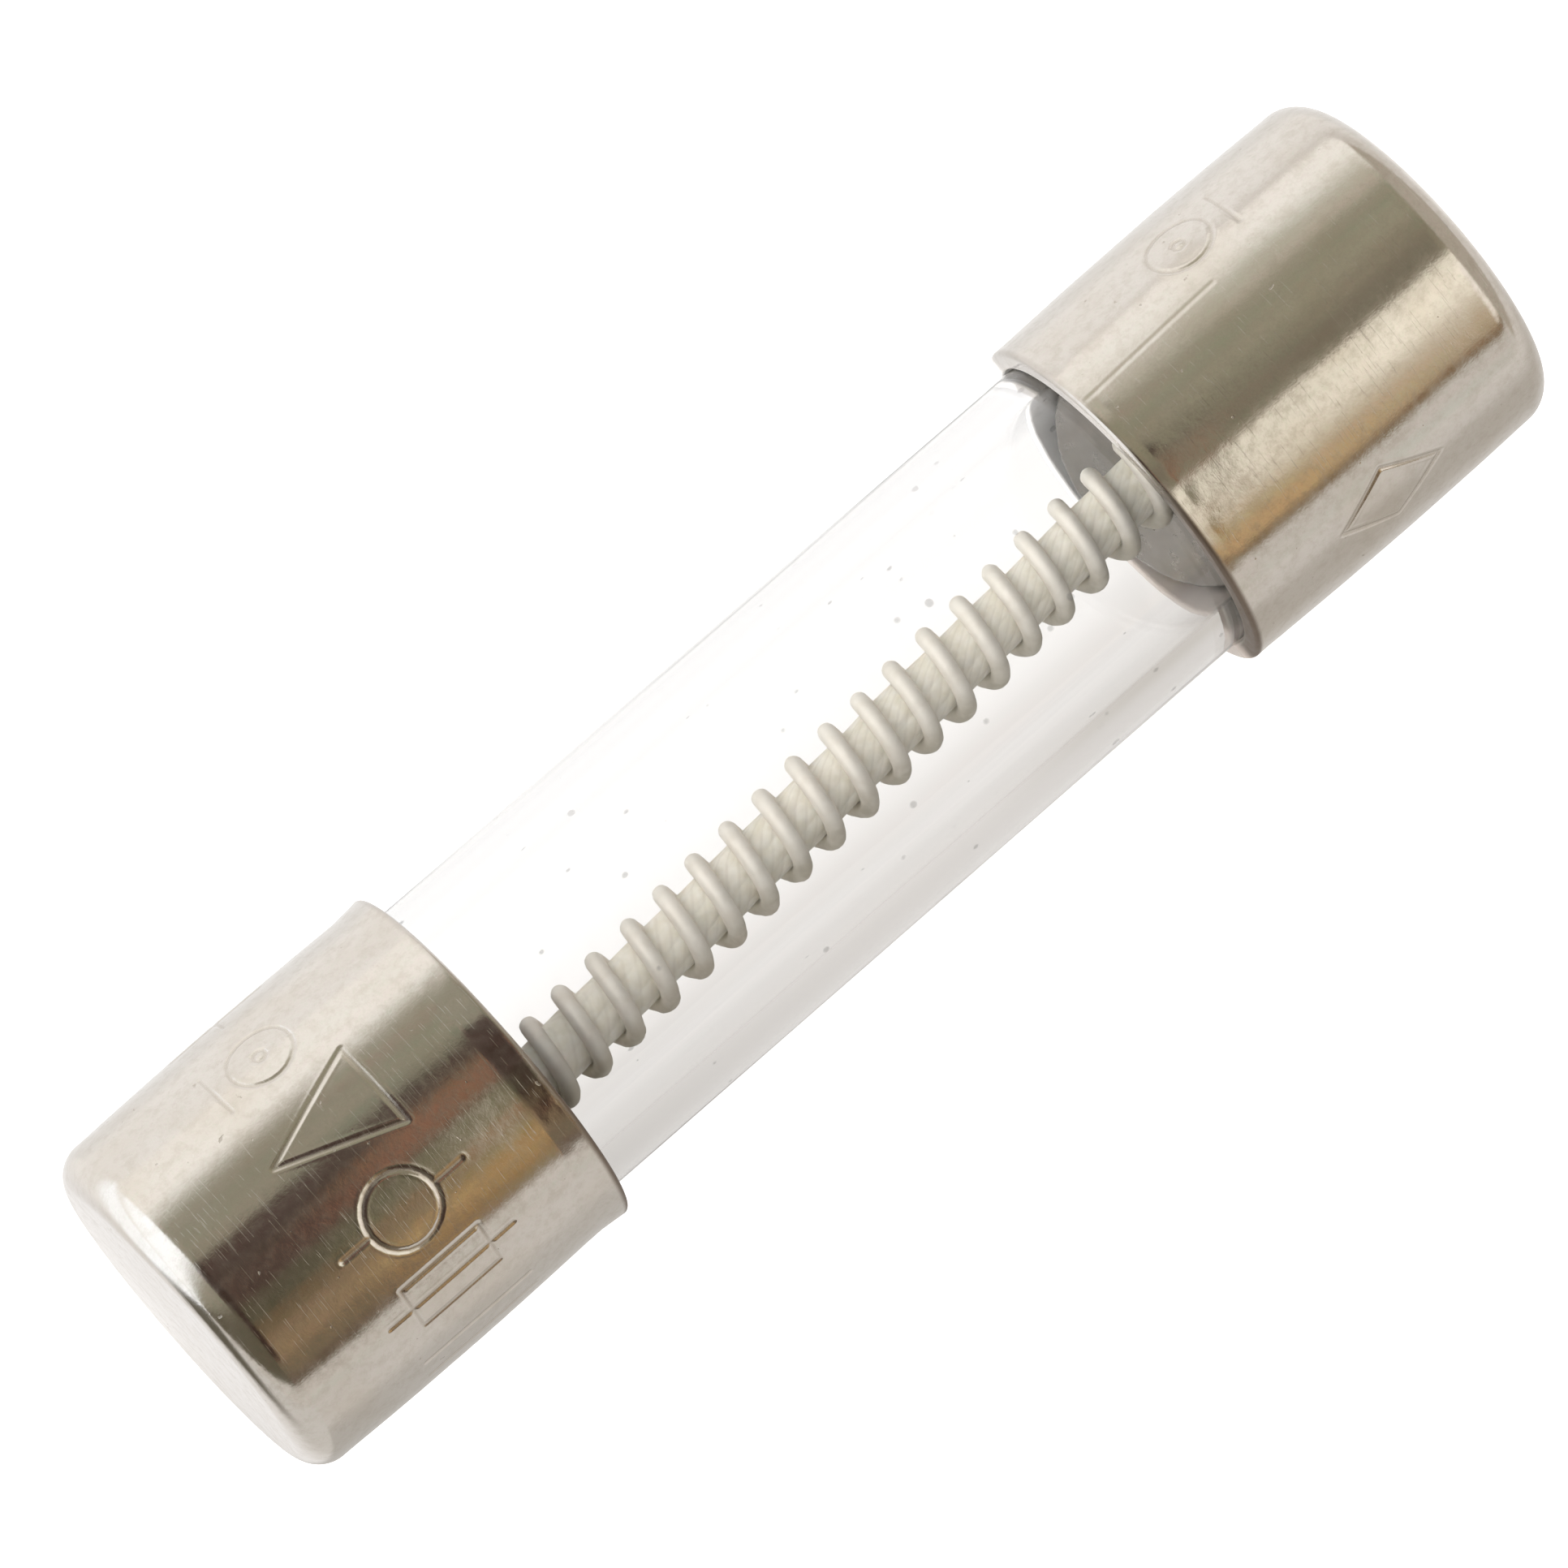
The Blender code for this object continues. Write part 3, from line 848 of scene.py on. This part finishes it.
WORLD_COLOUR = rgb(1.0, 0.99, 0.975)
WORLD_LIT_SIDE = (-0.63, 0.53, 0.57)
WORLD_EDGE = (0.5, 1.0)  # cosine from the lit side where the light starts to rise and is full
WORLD_LOW = 0.45
WORLD_HIGH = 3.9

CAMERA_TILT = 9.2
CAMERA_ROLL = 41.0
CAMERA_DISTANCE = 145.0
SENSOR_WIDTH = 36.0
FRAME_WIDTH = 19.29
AIM_SHIFT = (0.313, 0.056)


def stage_object(name, vertices, faces, material):
    """A mesh for the stage, which isn't part of the fuse."""
    thing = mesh_object(name, vertices, faces, material)
    return thing


def paper_material():
    """White paper that glows to pure white, with a faint unevenness."""
    s = Shader("floor_white")
    colour = s.mix(s.noise(s.mm, 0.02, 2.0), PAPER_DARK, PAPER_LIGHT)
    paper = s.node("ShaderNodeBsdfDiffuse", {"Color": colour}).outputs[0]
    glow = s.emission(rgb(1, 1, 1), PAPER_GLOW)
    return s.finish(s.node("ShaderNodeAddShader", {0: paper, 1: glow}).outputs[0])


def shaded_floor_material():
    """The floor as metal and glass show it: bright on the +Y side, in shade towards -Y.

    The limits are in mm from the middle of the fuse.
    """
    s = Shader("floor_shade")
    x, y, _ = s.split(s.mm)
    shade = s.mix(s.ramp(y, -3.4, -1.6), FLOOR_SHADE, FLOOR_HALF_SHADE)
    shade = s.mix(s.ramp(y, -1.9, 0.6), shade, FLOOR_LIGHT)
    far_edge = s.product(s.strip(y, (1.9, 2.6), (4.5, 7.0)), 0.5)
    shade = s.mix(far_edge, shade, FLOOR_EDGE_SHADE)
    near_left = s.product(s.strip(y, (-13.0, -7.0), (-3.5, -0.2)), s.fall(x, -9.0, 2.0), 0.55)
    shade = s.mix(near_left, shade, FLOOR_LEFT_SHADE)
    near_edge = s.product(s.strip(y, (-9.0, -3.6), (-2.6, -1.6)), 0.3)
    shade = s.mix(near_edge, shade, FLOOR_LEFT_SHADE)
    near_right = s.product(s.strip(y, (-20.0, -9.0), (-5.5, -3.5)), s.ramp(x, 2.0, 5.0))
    shade = s.mix(near_right, shade, FLOOR_RIGHT_SHADE)

    # Past the left end, far past it, and past the right end
    left = s.mix(s.ramp(y, -5.0, -2.6), FLOOR_LEFT_NEAR, FLOOR_LEFT)
    left = s.mix(s.ramp(y, 2.6, 5.0), left, FLOOR_LIGHT)
    shade = s.mix(s.fall(x, -10.6, -10.1), shade, left)
    far_left = s.mix(s.ramp(y, 0.3, 2.6), FLOOR_FAR_SHADE, FLOOR_FAR_LIGHT)
    reach = s.product(s.strip(y, (-9.0, -3.0), (40.0, 90.0)), s.fall(x, -17.0, -13.5))
    shade = s.mix(reach, shade, far_left)
    shade = s.mix(s.ramp(x, 10.0, 25.0), shade, FLOOR_RIGHT)
    return s.finish(s.emission(shade))


def bounce_material():
    """The light the floor throws back up: strong from the lit +Y side, weak from under the fuse."""
    s = Shader("floor_bounce")
    light = s.mix(s.ramp(s.split(s.mm)[1], -1.9, 0.6), BOUNCE_SHADE, BOUNCE_LIGHT)
    return s.finish(s.emission(light))


def tent_material():
    """What the metal mirrors: a light tent, brighter on the +Y side, with panels overhead.

    The darker a tone is, the more of a pink and green blotchiness it has.
    """
    s = Shader("light_tent")
    angle, x = s.unrolled()
    degrees = s.product(angle, 180.0 / math.pi)
    colour = s.mix(s.ramp(degrees, -70.0, 70.0), TENT_LIT_SIDE, TENT_FAR_SIDE)
    for panel, low, high, soft_low, soft_high, left, right, soft_x in PANELS:
        over = s.strip(degrees, soft_edge(low, soft_low), soft_edge(high, soft_high))
        along = s.strip(x, soft_edge(left, soft_x), soft_edge(right, soft_x))
        colour = s.mix(s.product(over, along), colour, panel)
    blotches = s.combine(s.product(x, 0.16), s.product(degrees, 0.11), 0.0)
    hue = s.noise(blotches, 1.0, 3.0, 0.6)
    tone = s.noise(blotches, 1.7, 3.0, 0.6, 0.4)
    tint = s.mix(s.ramp(hue, 0.3, 0.7), TENT_WARM_TINT, TENT_COOL_TINT)
    shade = s.ramp(tone, 0.3, 0.7, 0.72, 1.28)
    tint = s.vector_math("MULTIPLY", tint, s.combine(shade, shade, shade))
    depth = s.ramp(s.split(colour)[1], 0.1, 1.0, 1.0, 0.12)
    colour = s.vector_math("MULTIPLY", colour, s.mix(depth, rgb(1, 1, 1), tint))
    return s.finish(s.emission(colour))


def soft_edge(middle, width):
    """Where a soft edge begins and ends."""
    return middle - width / 2, middle + width / 2


def make_world():
    """A soft white dome, brighter on the +Y and -X sides."""
    world = bpy.data.worlds.new("white_studio")
    world.use_nodes = True
    tree = world.node_tree
    direction = tree.nodes.new("ShaderNodeTexCoord").outputs["Generated"]
    lit = tree.nodes.new("ShaderNodeVectorMath")
    lit.operation = "DOT_PRODUCT"
    lit.inputs[1].default_value = WORLD_LIT_SIDE
    strength = tree.nodes.new("ShaderNodeMapRange")
    strength.interpolation_type = "SMOOTHSTEP"
    strength.inputs["From Min"].default_value = WORLD_EDGE[0]
    strength.inputs["From Max"].default_value = WORLD_EDGE[1]
    strength.inputs["To Min"].default_value = WORLD_LOW
    strength.inputs["To Max"].default_value = WORLD_HIGH
    tree.links.new(direction, lit.inputs[0])
    tree.links.new(lit.outputs["Value"], strength.inputs["Value"])
    background = tree.nodes["Background"]
    tree.links.new(strength.outputs["Result"], background.inputs["Strength"])
    background.inputs["Color"].default_value = WORLD_COLOUR
    bpy.context.scene.world = world


def floor_sheet(name, depth, material):
    """A flat square stretch of floor, at a depth below the fuse."""
    far = FLOOR_HALF
    z = -CAP_RADIUS - depth
    corners = [(-far, -far, z), (far, -far, z), (far, far, z), (-far, far, z)]
    return stage_object(name, corners, [(0, 1, 2, 3)], material)


def paper_room(name, material):
    """A square floor under the fuse with four walls, all of one white paper."""
    far = ROOM_HALF
    corners = [(-far, -far), (far, -far), (far, far), (-far, far)]
    vertices = [(x, y, z) for z in (-CAP_RADIUS, far - CAP_RADIUS) for x, y in corners]
    walls = [(0, 1, 5, 4), (1, 2, 6, 5), (2, 3, 7, 6), (3, 0, 4, 7)]
    return stage_object(name, vertices, [(0, 1, 2, 3)] + walls, material)


def half_tent(name, material):
    """A light tent like a long tunnel over the fuse, open at its two ends."""
    vertices = []
    for x in (-TENT_HALF_LENGTH, TENT_HALF_LENGTH):
        for degrees in np.linspace(-TENT_HALF_ANGLE, TENT_HALF_ANGLE, TENT_STEPS + 1):
            angle = math.radians(degrees)
            vertices.append((x, TENT_RADIUS * math.sin(angle), TENT_RADIUS * math.cos(angle)))
    other = TENT_STEPS + 1
    faces = [(step, step + 1, other + step + 1, other + step) for step in range(TENT_STEPS)]
    return stage_object(name, vertices, faces, material)


def show_to(thing, camera=False, glossy=False, transmission=False, diffuse=False):
    """Show a staged object only to some kinds of ray, and let it cast no shadow."""
    thing.visible_camera = camera
    thing.visible_glossy = glossy
    thing.visible_transmission = transmission
    thing.visible_diffuse = diffuse
    thing.visible_shadow = False


def make_stage():
    """White paper for the camera, what metal, glass and matt surfaces see, and the world."""
    show_to(paper_room("floor", paper_material()), camera=True)
    shade = floor_sheet("floor_shade", SHEET_GAP, shaded_floor_material())
    show_to(shade, glossy=True, transmission=True)
    show_to(half_tent("light_tent", tent_material()), glossy=True)
    show_to(floor_sheet("floor_bounce", 2 * SHEET_GAP, bounce_material()), diffuse=True)
    make_world()


def make_camera():
    """The camera, above the fuse and tilted towards its left end, turned on its own axis."""
    tilt = math.radians(CAMERA_TILT)
    roll = math.radians(CAMERA_ROLL)
    back = Vector((-math.sin(tilt), 0.0, math.cos(tilt)))
    along = Vector((math.cos(tilt), 0.0, math.sin(tilt)))
    across = Vector((0.0, 1.0, 0.0))
    right = along * math.cos(roll) - across * math.sin(roll)
    up = along * math.sin(roll) + across * math.cos(roll)
    target = -right * AIM_SHIFT[0] - up * AIM_SHIFT[1]
    data = bpy.data.cameras.new("camera")
    data.sensor_width = SENSOR_WIDTH
    data.lens = SENSOR_WIDTH * CAMERA_DISTANCE / FRAME_WIDTH
    data.clip_start = 0.001
    data.clip_end = 100.0
    camera = bpy.data.objects.new("camera", data)
    bpy.context.scene.collection.objects.link(camera)
    turn = Matrix((right, up, back)).transposed().to_4x4()
    camera.matrix_world = Matrix.Translation((target + back * CAMERA_DISTANCE) * MM) @ turn
    bpy.context.scene.camera = camera


# ---------------------------------------------------------------- build

make_stage()
make_camera()
nickel = nickel_material()
solder = solder_material()
make_tube(glass_material())
make_cap("cap_left", "left_end_cap", -1, LEFT_MARKS, LEFT_LIP, nickel, seed=11)
make_cap("cap_right", "right_end_cap", 1, RIGHT_MARKS, RIGHT_LIP, nickel, seed=23)
make_core(core_material())
make_wire(wire_material(), seed=5)
make_solder("solder_left", "left_solder", -1, LEFT_SOLDER_FACE, solder, seed=31)
make_solder("solder_right", "right_solder", 1, RIGHT_SOLDER_FACE, solder, seed=37)

bpy.context.scene.view_settings.view_transform = "Standard"
